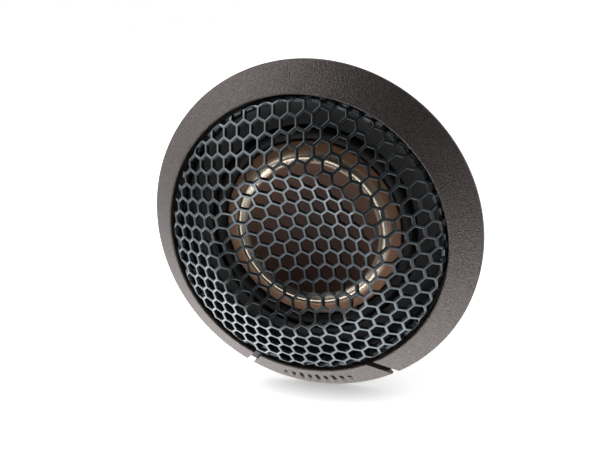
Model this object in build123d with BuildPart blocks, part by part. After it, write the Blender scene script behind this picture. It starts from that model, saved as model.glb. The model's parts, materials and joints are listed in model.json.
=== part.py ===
from build123d import *
import math
import os

# Car tweeter for a flush mount: an M-shaped inverted dome behind a formed grille of hexagonal cells, in a
# conical trim ring.
# The acoustic axis is Y and the front faces -Y. Z is up and the badge is at the bottom.
# The origin is on the axis, in the plane of the flange's rear face, where it meets the panel.
# A "depth" is a distance forward of that plane, towards -Y, so a negative depth is behind the panel.

# ---- driving dimensions, millimetres ----
# trim ring and badge
RING_RADIUS = 23.0
RING_EDGE = 0.6               # depth of the outer corner
RING_LIP = 0.65               # the outer wall that hides the housing's flange
RING_GAP = 0.15               # between that flange and the ring in front of it
RIM_RADIUS = 19.05            # inner wall
RIM_DEPTH = 4.0
RIM_LAND = 0.25               # flat top of the inner rim
EDGE_BREAK = 0.1              # chamfer along the outer corner
BADGE_HALF = 7.35             # badge half width at the rim
BADGE_TOP = -17.3             # Z of the badge's upper corners
BADGE_FLARE = 43.0            # degrees between the badge's ends and vertical
BADGE_CORNER = 0.4
WEDGE_RISE = 4                # how far the badge's wedge reaches above its upper corners
SLIT = 1.0                    # gap between the badge and the ring
BAR_HEIGHTS = (0.7, 1.2, 1.8, 1.3, 1.9, 1.3, 1.8, 1.2, 0.7)
BAR_RADIUS = 21.05
BAR_STEP = 3.2                # degrees from one engraved bar to the next
BAR_WIDTH = 0.34
BAR_CUT = 0.15

# grille
GRILLE_RADIUS = 18.65
GRILLE_SHEET = 0.5            # the sheet stands this far in front of its rear skin, given below
GRILLE_CENTRE = 5.4           # depth of the middle of the dish
GRILLE_CORNER = (10.6, 8.82)  # radius and depth where the dish would meet the outer cone
GRILLE_CREST = 1.0            # radius of the fold between them
GRILLE_SHOULDER = 3.84        # depth where the cone meets the skirt
GRILLE_ROLL = 0.3
CELL_PITCH = 2.06
CELL_WEB = 0.38
CELL_TURN = 8.1               # degrees that the rows of cells are turned from horizontal
CELL_PLACE = (-0.78, -0.43)   # centre of the middle cell
PUNCHED_RADIUS = 17.1         # no cell centre lies further out than this

# housing, faceplate and gasket
FLANGE_RADIUS = 22.3
FLANGE_EDGE = 0.45
DECK_TOP = 1.5
DECK_SHOULDER = 20.5          # where the flange's top starts to slope
SKIRT_SEAT = 0.6
FACEPLATE_RADIUS = 18.0
FACEPLATE_BORE = 14.45
FACEPLATE_FOOT = -0.3
FACEPLATE_LIP = 0.15          # bevel round the bore
FACEPLATE_CURVE = (16.7, 0.62)  # radius and depth of a point on the horn's curve
BARREL_RADIUS = 18.2
BARREL_BORE = 16.8
BARREL_END = -7.6
DECK_BORE = 14.4
DECK_UNDER = -2.4
GASKET_BAND = (19.4, 21.4)
GASKET = 0.5

# moving diaphragm and its surround
DOME_SHEET = 0.14             # the sheet stands this far in front of its rear skin, given below
DOME_CENTRE = -1.94
DOME_FOLD = (10.15, 0.3)      # radius and depth of the crest before it is rounded
DOME_FOLD_ROUND = 0.4
DOME_RADIUS = 12.3
DOME_EDGE = -0.24
SURROUND_LIP = 11.75
ROLL_MIDDLE = 13.3
ROLL_RADIUS = 0.8
SURROUND_FOOT = 15.3
SURROUND_SHEET = 0.2
FORMER_RADIUS = 9.95
FORMER_WALL = 0.12
FORMER_TOP = 0.15
COIL_RADIUS = 10.45
COIL_TOP = -2.3
COIL_END = -4.5

# motor
POLE_RADIUS = 9.65
POLE_TOP = -2.7
MAGNET_TOP = -4.1
MAGNET_RADIUS = 9.2
YOKE_BORE = 10.9
YOKE_NECK = 12.4
YOKE_RADIUS = 13.2
YOKE_SHOULDER = -3.4
YOKE_FLOOR = -6.1
YOKE_BEVEL = 0.4
FELT_BAND = (4.5, 8.4)
FELT = 0.4
BRACKET_RADIUS = 13.9
EAR_REACH = 16.7
EAR_WIDTH = 3.8
EAR_CORNER = 1.0

# rear cover, terminals and stud
COVER_PLATE = 2.0
COVER_BEVEL = 1.0
CUP_RADIUS = 14.0
CUP_BORE = 12.9
CUP_FLOOR = -10.4
CUP_BACK = -11.6
CUP_DRAFT = 0.3
STUD_RADIUS = 2.0
STUD_END = -19.6
STUD_HEAD = 3.4
STUD_HEAD_HEIGHT = 0.9
CROSS = (1.3, 0.28)           # length and width of the recess, in head radii
MOTOR_HOLE = 1.5              # depths of the screw holes, and how far short of them the screws stop
COVER_HOLE = 3.2
RUN_OUT = 0.1
STUD_BEVEL = 0.4
STUD_GROOVE = 1.7             # thread relief behind the nut
GROOVE_LENGTH = 0.8
NUT_FLATS = 7.0
NUT_END = -13.4
NUT_BEVEL = 0.5
NUT_FACE = 0.2                # the smaller bevel at the nut's front
BOARD = (13.0, 5.6, 1.0)      # width, height and thickness
BOARD_Z = -7.2
BOARD_CORNER = 0.6
RIVET_INSET = 1.2
RIVET_RADIUS = 0.7
RIVET_HEAD = 1.0
RIVET_HEIGHT = 0.35
RIVET_TAPER = 30              # degrees
BLADE_X = 2.4
BLADE_SHEET = 0.5
BLADE_END = -19.0
BLADE_TIP = 0.5
BLADE_HOLE = 0.55
BLADE_HOLE_SHIFT = 0.9        # from the middle of the blade towards its tip
TAIL_WIDTH = 1.6
TAIL_TOP = -9.4
POSITIVE_WIDTH = 4.8
NEGATIVE_WIDTH = 2.8

# fasteners, wires and where they stand, in degrees from +X towards +Z
SCREW_CIRCLE = 15.5
SHANK = 0.8
HEAD = 1.25
HEAD_HEIGHT = 0.9
FIT = 0.05                    # gap all round where one piece is let into another
PILLAR_RADIUS = 1.5
MOTOR_ANGLES = (30, 150, 270)
COVER_ANGLES = (90, 210, 330)
NEGATIVE_LEAD, POSITIVE_LEAD = 245, 295
LEAD_CIRCLE = 14.9
LEAD_NOTCH = 1.6
COVER_NOTCH = 1.2             # depth of the notches where the wires enter the rear cover
LEAD_RADIUS = 0.12
LEAD_DEPTH = -1.4
LEAD_BEND = 1.2
SLEEVE = (-3.2, -4.4)
SLEEVE_RADIUS = 0.5
WIRE_RADIUS = 0.35
WIRE_DEPTH = -8.2
WIRE_BEND = 0.8

# A section plane holds (radius, depth).
SECTION = Plane(origin=(0, 0, 0), x_dir=(1, 0, 0), z_dir=(0, 0, -1))
FACE_SLOPE = (RIM_DEPTH - RING_EDGE) / (RING_RADIUS - RIM_RADIUS - RIM_LAND)


def front(depth):
    """The plane across the axis at this depth. It holds (X, Z), and its normal points forward."""
    return Plane.XZ.offset(depth)


def at_angle(radius, angle):
    """(X, Z) of a point on a circle about the axis."""
    return radius * math.cos(math.radians(angle)), radius * math.sin(math.radians(angle))


def spots(radius, angles):
    return [at_angle(radius, angle) for angle in angles]


def turned(points):
    """The closed outline of (radius, depth) points turned about the axis."""
    with BuildPart() as made:
        with BuildSketch(SECTION):
            with BuildLine():
                Polyline(*points, close=True)
            make_face()
        revolve(axis=Axis.Y)
    return made.part


def formed_sheet(corners, bends, thickness):
    """A round sheet: a dish from the first corner to the second, then straight, with each corner bent."""
    (_, middle), (reach, height) = corners[:2]
    rise = height - middle
    sphere = (reach ** 2 + rise ** 2) / (2 * rise)
    with BuildPart() as made:
        with BuildSketch(SECTION):
            with BuildLine() as skin:
                RadiusArc(corners[0], corners[1], -sphere)
                Polyline(*corners[1:])
                for corner, bend in zip(corners[1:], bends):
                    fillet(skin.vertices().sort_by_distance((*corner, 0))[0], radius=bend)
                offset(amount=thickness, side=Side.LEFT)
            make_face()
        revolve(axis=Axis.Y)
    return made.part


def tube(inside, outside, top, bottom):
    return turned([(inside, top), (outside, top), (outside, bottom), (inside, bottom)])


def posts(places, radius, top, bottom):
    """Round posts along the axis, one at each (X, Z)."""
    with BuildPart() as made:
        with BuildSketch(front(bottom)):
            with Locations(*places):
                Circle(radius)
        extrude(amount=top - bottom)
    return made.part


def spokes(angles, inner, outer, width, top, bottom):
    """Radial bars at these angles, from the inner to the outer radius."""
    with BuildPart() as made:
        with BuildSketch(front(bottom)):
            for angle in angles:
                with Locations(Location(at_angle((inner + outer) / 2, angle), angle)):
                    Rectangle(outer - inner, width)
        extrude(amount=top - bottom)
    return made.part


def screws(places, seat, tip):
    """Cross-recessed pan-head screws. Each head is behind its seat, and its shank runs forward to the tip."""
    with BuildPart() as made:
        with BuildSketch(front(seat)):
            with Locations(*places):
                Circle(SHANK)
        extrude(amount=tip - seat)
        with BuildSketch(front(seat - HEAD_HEIGHT)):
            with Locations(*places):
                Circle(HEAD)
        extrude(amount=HEAD_HEIGHT)
        rims = made.edges().filter_by(GeomType.CIRCLE).group_by(Axis.Y)[-1]
        fillet(rims, radius=HEAD_HEIGHT / 3)
        with BuildSketch(front(seat - HEAD_HEIGHT)):
            with Locations(*places):
                Rectangle(HEAD * CROSS[0], HEAD * CROSS[1])
                Rectangle(HEAD * CROSS[1], HEAD * CROSS[0])
        extrude(amount=HEAD_HEIGHT / 2, mode=Mode.SUBTRACT)
    return made.part


def save(part, name):
    part.label = name
    export_step(part, f"parts/{name}.step")


def badge_wedge(gap):
    """A prism over the badge's place, grown sideways by gap. It flares outwards and downwards."""
    flare = math.tan(math.radians(BADGE_FLARE))
    half = BADGE_HALF + gap / math.cos(math.radians(BADGE_FLARE))
    fall = RING_RADIUS + BADGE_TOP
    with BuildPart() as wedge:
        with BuildSketch(front(-1)) as outline:
            with BuildLine():
                Polyline(
                    (half - WEDGE_RISE * flare, BADGE_TOP + WEDGE_RISE),
                    (half + fall * flare, BADGE_TOP - fall),
                    (-half - fall * flare, BADGE_TOP - fall),
                    (-half + WEDGE_RISE * flare, BADGE_TOP + WEDGE_RISE),
                    close=True,
                )
            make_face()
            if gap == 0:
                Circle(RING_RADIUS, mode=Mode.INTERSECT)
                fillet(outline.vertices().sort_by(Axis.Z)[:2], radius=BADGE_CORNER)
        extrude(amount=RIM_DEPTH + 2)
    return wedge.part


os.makedirs("parts", exist_ok=True)

# ---- trim ring and badge: one conical moulding parted by two slits ----
ring_blank = turned([
    (RING_RADIUS, 0),
    (RING_RADIUS, RING_EDGE - EDGE_BREAK),
    (RING_RADIUS - EDGE_BREAK, RING_EDGE + EDGE_BREAK * FACE_SLOPE),
    (RIM_RADIUS + RIM_LAND, RIM_DEPTH),
    (RIM_RADIUS, RIM_DEPTH),
    (RIM_RADIUS, DECK_TOP),
    (DECK_SHOULDER + RING_GAP, DECK_TOP),
    (RING_RADIUS - RING_LIP, FLANGE_EDGE + RING_GAP),
    (RING_RADIUS - RING_LIP, 0),
])
with BuildPart() as trim_ring:
    add(ring_blank)
    add(badge_wedge(SLIT), mode=Mode.SUBTRACT)
save(trim_ring.part, "trim_ring")

with BuildPart() as badge_plate:
    add(ring_blank)
    add(badge_wedge(0), mode=Mode.INTERSECT)
    for place, height in enumerate(BAR_HEIGHTS):
        angle = 270 + (place - len(BAR_HEIGHTS) // 2) * BAR_STEP
        x, z = at_angle(BAR_RADIUS, angle)
        out_x, out_z = at_angle(FACE_SLOPE, angle)
        along_x, along_z = at_angle(1, angle + 90)
        face_depth = RING_EDGE + (RING_RADIUS - BAR_RADIUS) * FACE_SLOPE
        on_face = Plane(origin=(x, -face_depth, z), x_dir=(along_x, 0, along_z), z_dir=(out_x, -1, out_z))
        with BuildSketch(on_face.offset(-BAR_CUT)):
            SlotOverall(height, BAR_WIDTH, rotation=90)
        extrude(amount=1, mode=Mode.SUBTRACT)
save(badge_plate.part, "badge_plate")

# ---- grille: a punched sheet formed into a dish, a fold, an outer cone and a skirt ----
with BuildPart() as grille:
    inner = GRILLE_RADIUS - GRILLE_SHEET
    add(formed_sheet(
        [(0, GRILLE_CENTRE), GRILLE_CORNER, (inner, GRILLE_SHOULDER), (inner, SKIRT_SEAT)],
        [GRILLE_CREST, GRILLE_ROLL],
        GRILLE_SHEET,
    ))
    with BuildSketch(front(SKIRT_SEAT + GRILLE_SHEET)):
        row_angle = math.radians(CELL_TURN)
        reach = math.ceil(PUNCHED_RADIUS / CELL_PITCH) + 2
        for row in range(-reach, reach + 1):
            for column in range(-2 * reach, 2 * reach + 1):
                along = (column + row / 2) * CELL_PITCH
                across = row * CELL_PITCH * math.sqrt(3) / 2
                x = CELL_PLACE[0] + along * math.cos(row_angle) - across * math.sin(row_angle)
                z = CELL_PLACE[1] + along * math.sin(row_angle) + across * math.cos(row_angle)
                if math.hypot(x, z) < PUNCHED_RADIUS:
                    with Locations((x, z)):
                        RegularPolygon(
                            (CELL_PITCH - CELL_WEB) / 2, 6, major_radius=False, rotation=30 + CELL_TURN
                        )
    extrude(amount=GRILLE_CORNER[1], mode=Mode.SUBTRACT)
save(grille.part, "grille")

# ---- faceplate: the short horn round the diaphragm ----
with BuildPart() as faceplate:
    with BuildSketch(SECTION):
        with BuildLine():
            horn = ThreePointArc(
                (FACEPLATE_BORE + FACEPLATE_LIP, FACEPLATE_LIP), FACEPLATE_CURVE, (FACEPLATE_RADIUS, DECK_TOP)
            )
            Polyline(
                horn @ 1,
                (FACEPLATE_RADIUS, FACEPLATE_FOOT),
                (FACEPLATE_BORE, FACEPLATE_FOOT),
                (FACEPLATE_BORE, 0),
                horn @ 0,
            )
        make_face()
    revolve(axis=Axis.Y)
save(faceplate.part, "faceplate")

# ---- housing: flange, deck, barrel and screw pillars in one moulding ----
foot_seat = FACEPLATE_FOOT - SURROUND_SHEET
with BuildPart() as housing:
    add(turned([
        (FLANGE_RADIUS, 0),
        (FLANGE_RADIUS, FLANGE_EDGE),
        (DECK_SHOULDER, DECK_TOP),
        (GRILLE_RADIUS + FIT, DECK_TOP),
        (GRILLE_RADIUS + FIT, SKIRT_SEAT),
        (FACEPLATE_RADIUS + FIT, SKIRT_SEAT),
        (FACEPLATE_RADIUS + FIT, FACEPLATE_FOOT),
        (SURROUND_FOOT + FIT, FACEPLATE_FOOT),
        (SURROUND_FOOT + FIT, foot_seat),
        (DECK_BORE, foot_seat),
        (DECK_BORE, DECK_UNDER),
        (BARREL_BORE, DECK_UNDER),
        (BARREL_BORE, BARREL_END),
        (BARREL_RADIUS, BARREL_END),
        (BARREL_RADIUS, 0),
        (GASKET_BAND[0], 0),
        (GASKET_BAND[0], GASKET),
        (GASKET_BAND[1], GASKET),
        (GASKET_BAND[1], 0),
    ]))
    add(posts(spots(SCREW_CIRCLE, COVER_ANGLES), PILLAR_RADIUS, DECK_UNDER, BARREL_END))
    add(
        posts(spots(SCREW_CIRCLE, COVER_ANGLES), SHANK, BARREL_END + COVER_HOLE, BARREL_END),
        mode=Mode.SUBTRACT,
    )
    add(
        posts(spots(SCREW_CIRCLE, MOTOR_ANGLES), SHANK, DECK_UNDER + MOTOR_HOLE, DECK_UNDER),
        mode=Mode.SUBTRACT,
    )
    add(
        spokes(
            (NEGATIVE_LEAD, POSITIVE_LEAD),
            DECK_BORE - 1, LEAD_CIRCLE + LEAD_NOTCH / 2, LEAD_NOTCH, foot_seat, DECK_UNDER,
        ),
        mode=Mode.SUBTRACT,
    )
save(housing.part, "housing")

flange_gasket = tube(GASKET_BAND[0] + FIT, GASKET_BAND[1] - FIT, GASKET, 0)
save(flange_gasket, "flange_gasket")

# ---- diaphragm: dome, coil former and voice coil move together ----
dome = formed_sheet([(0, DOME_CENTRE), DOME_FOLD, (DOME_RADIUS, DOME_EDGE)], [DOME_FOLD_ROUND], DOME_SHEET)
save(dome, "dome")

coil_former = tube(FORMER_RADIUS, FORMER_RADIUS + FORMER_WALL, FORMER_TOP, COIL_END)
save(coil_former, "coil_former")

voice_coil = tube(FORMER_RADIUS + FORMER_WALL, COIL_RADIUS, COIL_TOP, COIL_END)
save(voice_coil, "voice_coil")

# ---- surround: a thin half roll between the dome's edge and the deck ----
with BuildPart() as surround:
    with BuildSketch(SECTION):
        with BuildLine():
            for inset in (0, SURROUND_SHEET):
                crown = ROLL_RADIUS - inset
                level = FACEPLATE_FOOT - inset
                Line((SURROUND_LIP, level), (ROLL_MIDDLE - crown, level))
                CenterArc((ROLL_MIDDLE, level), crown, 0, 180)
                Line((ROLL_MIDDLE + crown, level), (SURROUND_FOOT, level))
            Line((SURROUND_LIP, FACEPLATE_FOOT), (SURROUND_LIP, foot_seat))
            Line((SURROUND_FOOT, FACEPLATE_FOOT), (SURROUND_FOOT, foot_seat))
        make_face()
    revolve(axis=Axis.Y)
save(surround.part, "surround")

# ---- leads: tinsel from the coil to a sleeve, and insulated wire from there to the terminal ----
def wires(routes, bend, radius):
    """Round wires along these routes, each of straight runs joined by bends."""
    with BuildPart() as made:
        for route in routes:
            with BuildLine() as path:
                FilletPolyline(*route, radius=bend)
            with BuildSketch(Plane(origin=path.line @ 0, z_dir=path.line % 0)):
                Circle(radius)
            sweep(path=path.line)
    return made.part


lead_routes, wire_routes = [], []
for angle, blade_x in ((NEGATIVE_LEAD, -BLADE_X), (POSITIVE_LEAD, BLADE_X)):
    x, z = at_angle(LEAD_CIRCLE, angle)
    coil_x, coil_z = at_angle(FORMER_RADIUS + FORMER_WALL + LEAD_RADIUS, angle)
    lead_routes.append([(coil_x, -LEAD_DEPTH, coil_z), (x, -LEAD_DEPTH, z), (x, -SLEEVE[0], z)])
    wire_routes.append([
        (x, -SLEEVE[1], z),
        (x, -WIRE_DEPTH, z),
        (blade_x, -WIRE_DEPTH, BOARD_Z),
        (blade_x, -TAIL_TOP, BOARD_Z),
    ])
save(wires(lead_routes, LEAD_BEND, LEAD_RADIUS), "coil_leads")
save(wires(wire_routes, WIRE_BEND, WIRE_RADIUS), "terminal_wires")

lead_spots = spots(LEAD_CIRCLE, (NEGATIVE_LEAD, POSITIVE_LEAD))
lead_sleeves = posts(lead_spots, SLEEVE_RADIUS, SLEEVE[0], SLEEVE[1])
save(lead_sleeves, "lead_sleeves")

# ---- motor: pole plate, magnet and steel cup, hung from the deck by an eared bracket ----
save(tube(0, POLE_RADIUS, POLE_TOP, MAGNET_TOP), "pole_plate")
save(tube(0, MAGNET_RADIUS, MAGNET_TOP, YOKE_FLOOR), "magnet")
save(tube(*FELT_BAND, POLE_TOP + FELT, POLE_TOP), "pole_felt")
yoke = turned([
    (0, YOKE_FLOOR),
    (YOKE_BORE, YOKE_FLOOR),
    (YOKE_BORE, DECK_UNDER),
    (YOKE_NECK, DECK_UNDER),
    (YOKE_NECK, YOKE_SHOULDER),
    (YOKE_RADIUS, YOKE_SHOULDER),
    (YOKE_RADIUS, BARREL_END + YOKE_BEVEL),
    (YOKE_RADIUS - YOKE_BEVEL, BARREL_END),
    (0, BARREL_END),
])
save(yoke, "yoke")

with BuildPart() as motor_bracket:
    add(tube(YOKE_NECK + FIT / 2, BRACKET_RADIUS, DECK_UNDER, YOKE_SHOULDER))
    add(spokes(MOTOR_ANGLES, BRACKET_RADIUS - 1, EAR_REACH, EAR_WIDTH, DECK_UNDER, YOKE_SHOULDER))
    ear_corners = motor_bracket.edges().filter_by(Axis.Y).filter_by(
        lambda e: math.hypot(e.center().X, e.center().Z) > EAR_REACH - EAR_CORNER / 2
    )
    fillet(ear_corners, radius=EAR_CORNER)
    add(
        posts(spots(SCREW_CIRCLE, MOTOR_ANGLES), SHANK + FIT, DECK_UNDER, YOKE_SHOULDER),
        mode=Mode.SUBTRACT,
    )
save(motor_bracket.part, "motor_bracket")
motor_tip = DECK_UNDER + MOTOR_HOLE - RUN_OUT
save(screws(spots(SCREW_CIRCLE, MOTOR_ANGLES), YOKE_SHOULDER, motor_tip), "motor_screws")

# ---- rear cover with its screws, stud and nut ----
plate_back = BARREL_END - COVER_PLATE
head_seat = BARREL_END - (COVER_PLATE - HEAD_HEIGHT)
blade_spots = [(-BLADE_X, BOARD_Z), (BLADE_X, BOARD_Z)]
rivet_x = BOARD[0] / 2 - RIVET_INSET
rivet_spots = [(-rivet_x, BOARD_Z), (rivet_x, BOARD_Z)]
with BuildPart() as rear_cover:
    add(turned([
        (CUP_BORE, BARREL_END),
        (BARREL_RADIUS, BARREL_END),
        (BARREL_RADIUS, plate_back + COVER_BEVEL),
        (BARREL_RADIUS - COVER_BEVEL, plate_back),
        (CUP_RADIUS, plate_back),
        (CUP_RADIUS - CUP_DRAFT, CUP_BACK + COVER_BEVEL / 2),
        (CUP_RADIUS - CUP_DRAFT - COVER_BEVEL / 2, CUP_BACK),
        (0, CUP_BACK),
        (0, CUP_FLOOR),
        (CUP_BORE, CUP_FLOOR),
    ]))
    add(
        posts(spots(SCREW_CIRCLE, COVER_ANGLES), SHANK + FIT, BARREL_END, plate_back),
        mode=Mode.SUBTRACT,
    )
    add(
        posts(spots(SCREW_CIRCLE, COVER_ANGLES), HEAD + FIT, head_seat, plate_back),
        mode=Mode.SUBTRACT,
    )
    add(
        spokes(
            (NEGATIVE_LEAD, POSITIVE_LEAD),
            CUP_BORE - 0.5, LEAD_CIRCLE + LEAD_NOTCH / 2, LEAD_NOTCH,
            BARREL_END, BARREL_END - COVER_NOTCH,
        ),
        mode=Mode.SUBTRACT,
    )
    with BuildSketch(front(CUP_BACK)):
        Circle(STUD_RADIUS)
        with Locations(*blade_spots):
            Rectangle(BLADE_SHEET + FIT, TAIL_WIDTH + FIT)
        with Locations(*rivet_spots):
            Circle(RIVET_RADIUS)
    extrude(amount=CUP_FLOOR - CUP_BACK, mode=Mode.SUBTRACT)
save(rear_cover.part, "rear_cover")
cover_tip = BARREL_END + COVER_HOLE - RUN_OUT
save(screws(spots(SCREW_CIRCLE, COVER_ANGLES), head_seat, cover_tip), "cover_screws")

with BuildPart() as stud:
    add(turned([
        (0, CUP_FLOOR + STUD_HEAD_HEIGHT),
        (STUD_HEAD, CUP_FLOOR + STUD_HEAD_HEIGHT),
        (STUD_HEAD, CUP_FLOOR),
        (STUD_RADIUS, CUP_FLOOR),
        (STUD_RADIUS, NUT_END),
        (STUD_GROOVE, NUT_END),
        (STUD_GROOVE, NUT_END - GROOVE_LENGTH),
        (STUD_RADIUS, NUT_END - GROOVE_LENGTH),
        (STUD_RADIUS, STUD_END + STUD_BEVEL),
        (STUD_RADIUS - STUD_BEVEL, STUD_END),
        (0, STUD_END),
    ]))
save(stud.part, "stud")

with BuildPart() as stud_nut:
    with BuildSketch(front(NUT_END)):
        RegularPolygon(NUT_FLATS / 2, 6, major_radius=False)
        Circle(STUD_RADIUS, mode=Mode.SUBTRACT)
    extrude(amount=CUP_BACK - NUT_END)
    across_corners = NUT_FLATS / math.sqrt(3)
    nut_corners = turned([
        (STUD_RADIUS, CUP_BACK),
        (across_corners - NUT_FACE, CUP_BACK),
        (across_corners, CUP_BACK - NUT_FACE),
        (across_corners, NUT_END + NUT_BEVEL),
        (NUT_FLATS / 2, NUT_END),
        (STUD_RADIUS, NUT_END),
    ])
    add(nut_corners, mode=Mode.INTERSECT)
save(stud_nut.part, "stud_nut")

# ---- terminals: two blades of different widths on a riveted board ----
with BuildPart() as terminal_board:
    with BuildSketch(front(CUP_BACK - BOARD[2])):
        with Locations((0, BOARD_Z)):
            RectangleRounded(BOARD[0], BOARD[1], BOARD_CORNER)
        with Locations(*blade_spots):
            Rectangle(BLADE_SHEET + FIT, TAIL_WIDTH + FIT, mode=Mode.SUBTRACT)
        with Locations(*rivet_spots):
            Circle(RIVET_RADIUS, mode=Mode.SUBTRACT)
    extrude(amount=BOARD[2])
save(terminal_board.part, "terminal_board")

with BuildPart() as board_rivets:
    add(posts(rivet_spots, RIVET_RADIUS, CUP_FLOOR, CUP_BACK - BOARD[2]))
    for seat, side in ((CUP_FLOOR, 1), (CUP_BACK - BOARD[2], -1)):
        with BuildSketch(front(seat)):
            with Locations(*rivet_spots):
                Circle(RIVET_HEAD)
        extrude(amount=side * RIVET_HEIGHT, taper=RIVET_TAPER)
save(board_rivets.part, "board_rivets")

for name, x, width in (
    ("terminal_positive", BLADE_X, POSITIVE_WIDTH),
    ("terminal_negative", -BLADE_X, NEGATIVE_WIDTH),
):
    blade_root = -(CUP_BACK - BOARD[2])
    with BuildPart() as blade:
        with BuildSketch(Plane.YZ.offset(x - BLADE_SHEET / 2)):
            with Locations(((blade_root - BLADE_END) / 2, BOARD_Z)):
                Rectangle(-BLADE_END - blade_root, width)
            with Locations(((blade_root - TAIL_TOP) / 2, BOARD_Z)):
                Rectangle(blade_root + TAIL_TOP, TAIL_WIDTH)
            with Locations(((blade_root - BLADE_END) / 2 + BLADE_HOLE_SHIFT, BOARD_Z)):
                Circle(BLADE_HOLE, mode=Mode.SUBTRACT)
        extrude(amount=BLADE_SHEET)
        tip = blade.edges().filter_by(Axis.X).group_by(Axis.Y)[-1]
        chamfer(tip, length=BLADE_TIP)
    save(blade.part, name)
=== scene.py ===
"""A flush-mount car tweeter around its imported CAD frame: the looks, the light and the camera.

Lengths below are millimetres in the frame's own axes: the front faces -Y, Z is up, and "depth" is forward
of the panel plane, towards -Y. Meshes are made in metres.
"""
import json
import math

import bmesh
import bpy
import numpy as np
from mathutils import Matrix, Vector


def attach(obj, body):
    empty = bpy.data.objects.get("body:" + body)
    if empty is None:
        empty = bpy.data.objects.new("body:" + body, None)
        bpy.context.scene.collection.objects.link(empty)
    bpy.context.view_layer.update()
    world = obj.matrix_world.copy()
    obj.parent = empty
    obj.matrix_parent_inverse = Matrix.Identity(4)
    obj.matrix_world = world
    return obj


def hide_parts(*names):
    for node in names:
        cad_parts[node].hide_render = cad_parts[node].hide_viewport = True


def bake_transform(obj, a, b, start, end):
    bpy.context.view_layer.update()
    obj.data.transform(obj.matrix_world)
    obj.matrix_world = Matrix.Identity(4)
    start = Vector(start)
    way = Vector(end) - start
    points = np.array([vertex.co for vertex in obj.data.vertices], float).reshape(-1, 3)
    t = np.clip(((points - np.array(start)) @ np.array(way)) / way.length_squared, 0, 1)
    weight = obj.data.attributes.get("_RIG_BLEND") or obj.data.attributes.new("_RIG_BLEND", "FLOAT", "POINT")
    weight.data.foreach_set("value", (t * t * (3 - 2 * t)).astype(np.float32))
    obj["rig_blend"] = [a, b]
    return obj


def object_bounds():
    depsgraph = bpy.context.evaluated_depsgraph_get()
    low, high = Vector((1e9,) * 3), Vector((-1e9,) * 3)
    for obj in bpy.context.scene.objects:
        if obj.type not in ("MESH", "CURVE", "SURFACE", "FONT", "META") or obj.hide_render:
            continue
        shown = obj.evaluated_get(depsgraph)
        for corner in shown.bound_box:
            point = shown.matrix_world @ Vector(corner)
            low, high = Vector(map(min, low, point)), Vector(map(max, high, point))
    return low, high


MM = 0.001
DOWN = -math.pi / 2             # the angle of straight down round the axis

# ---- sizes that the pieces here share with the CAD, in millimetres: a sheet's are its front skin's ----
RING_RADIUS = 23.0
RING_EDGE = 0.6
RING_LIP = 0.65
RING_GAP = 0.15
RIM_RADIUS = 19.05
RIM_DEPTH = 4.0
RIM_LAND = 0.25
FACE_SLOPE = (RIM_DEPTH - RING_EDGE) / (RING_RADIUS - RIM_RADIUS - RIM_LAND)
DECK_TOP = 1.5
DECK_SHOULDER = 20.5
FLANGE_EDGE = 0.45
BADGE_HALF = 7.35
BADGE_TOP = -17.3
BADGE_FLARE = math.radians(43.0)
SLIT = 1.0
BAR_HEIGHTS = (0.7, 1.2, 1.8, 1.3, 1.9, 1.3, 1.8, 1.2, 0.7)
BAR_RADIUS = 21.05
BAR_STEP = math.radians(3.2)
BAR_CUT = 0.15
GRILLE_SHEET = 0.5
GRILLE_RADIUS = 18.65
GRILLE_CENTRE = 5.9
GRILLE_CORNER = (10.59, 9.43)
GRILLE_CREST = 1.5
GRILLE_SHOULDER = 4.107
GRILLE_ROLL = 0.8
SKIRT_SEAT = 0.6
CELL_PITCH = 2.06
CELL_WEB = 0.38
CELL_TURN = math.radians(8.1)
CELL_PLACE = (-0.78, -0.43)
DOME_SHEET = 0.14
DOME_CENTRE = -1.8
DOME_FOLD = (10.15, 0.45)
DOME_FOLD_ROUND = 0.5
DOME_RADIUS = 12.3
DOME_EDGE = -0.1
SURROUND_LIP = 11.75
ROLL_MIDDLE = 13.3
ROLL_RADIUS = 0.8
SURROUND_FOOT = 15.3
SURROUND_SHEET = 0.2
FACEPLATE_FOOT = -0.3
FACEPLATE_BORE = 14.45
FACEPLATE_RADIUS = 18.0
FACEPLATE_LIP = 0.15
COIL_RADIUS = 10.45
COIL_INSIDE = 10.07
COIL_TOP = -2.3
COIL_END = -4.5
CUP_FLOOR = -10.4
STUD_RADIUS = 2.0
STUD_HEAD = (3.4, 0.9)          # radius and height
STUD_GROOVE = 1.7
NUT_END = -13.4
THREAD_START = -14.2
STUD_END = -19.6
STUD_BEVEL = 0.4
BOARD_BACK = -12.6

# ---- detail that only the looks have, in millimetres ----
RING_CORNERS = (0.08, 0.2, 0.05, 0.19, 0, 0, 0, 0.05)  # radii round the ring's section
RING_BEVEL = 0.12               # along the cut ends of the ring and the badge
BAR_WIDTH = 0.56                # wider than in the CAD, so that the bars read as marks
INK_INSET = 0.01                # between the ink and the cut's wall
INK_ROOT = 0.02                 # how far the ink goes into the plate below the cut
INK_TOP = -0.03                 # the ink's surface, a little below the cone's face
BLANK_RIM = 1.3                 # no hole's centre is nearer the flat sheet's edge than this
CELL_REACH = 0.58               # from a cell's centre to its furthest corner, in pitches
HOLE_EDGE = 0.1                 # the round at both ends of a hole's wall
HOLE_CORNER = 0.17
EASED_CORNER = 0.8              # a hole's corner radius at the web's flat top, as a share of the hole's
BEAD_HALF = 0.8                 # the raised bead that runs round the dome's fold
BEAD_HEIGHT = 0.2
FACEPLATE_BEVEL = 0.05
COIL_TURNS = 10
TURN_FULLNESS = 0.98            # a wire's height against the winding's pitch
STUD_HEAD_BEVEL = 0.15
THREAD_PITCH = 0.7
THREAD_DEPTH = 0.38
THREAD_FLANK = 1.6              # how steeply the cut falls from the crest
THREAD_CREST = 0.3              # taken off that fall, so that the crest stays flat
THREAD_BEVEL = 0.03
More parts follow.
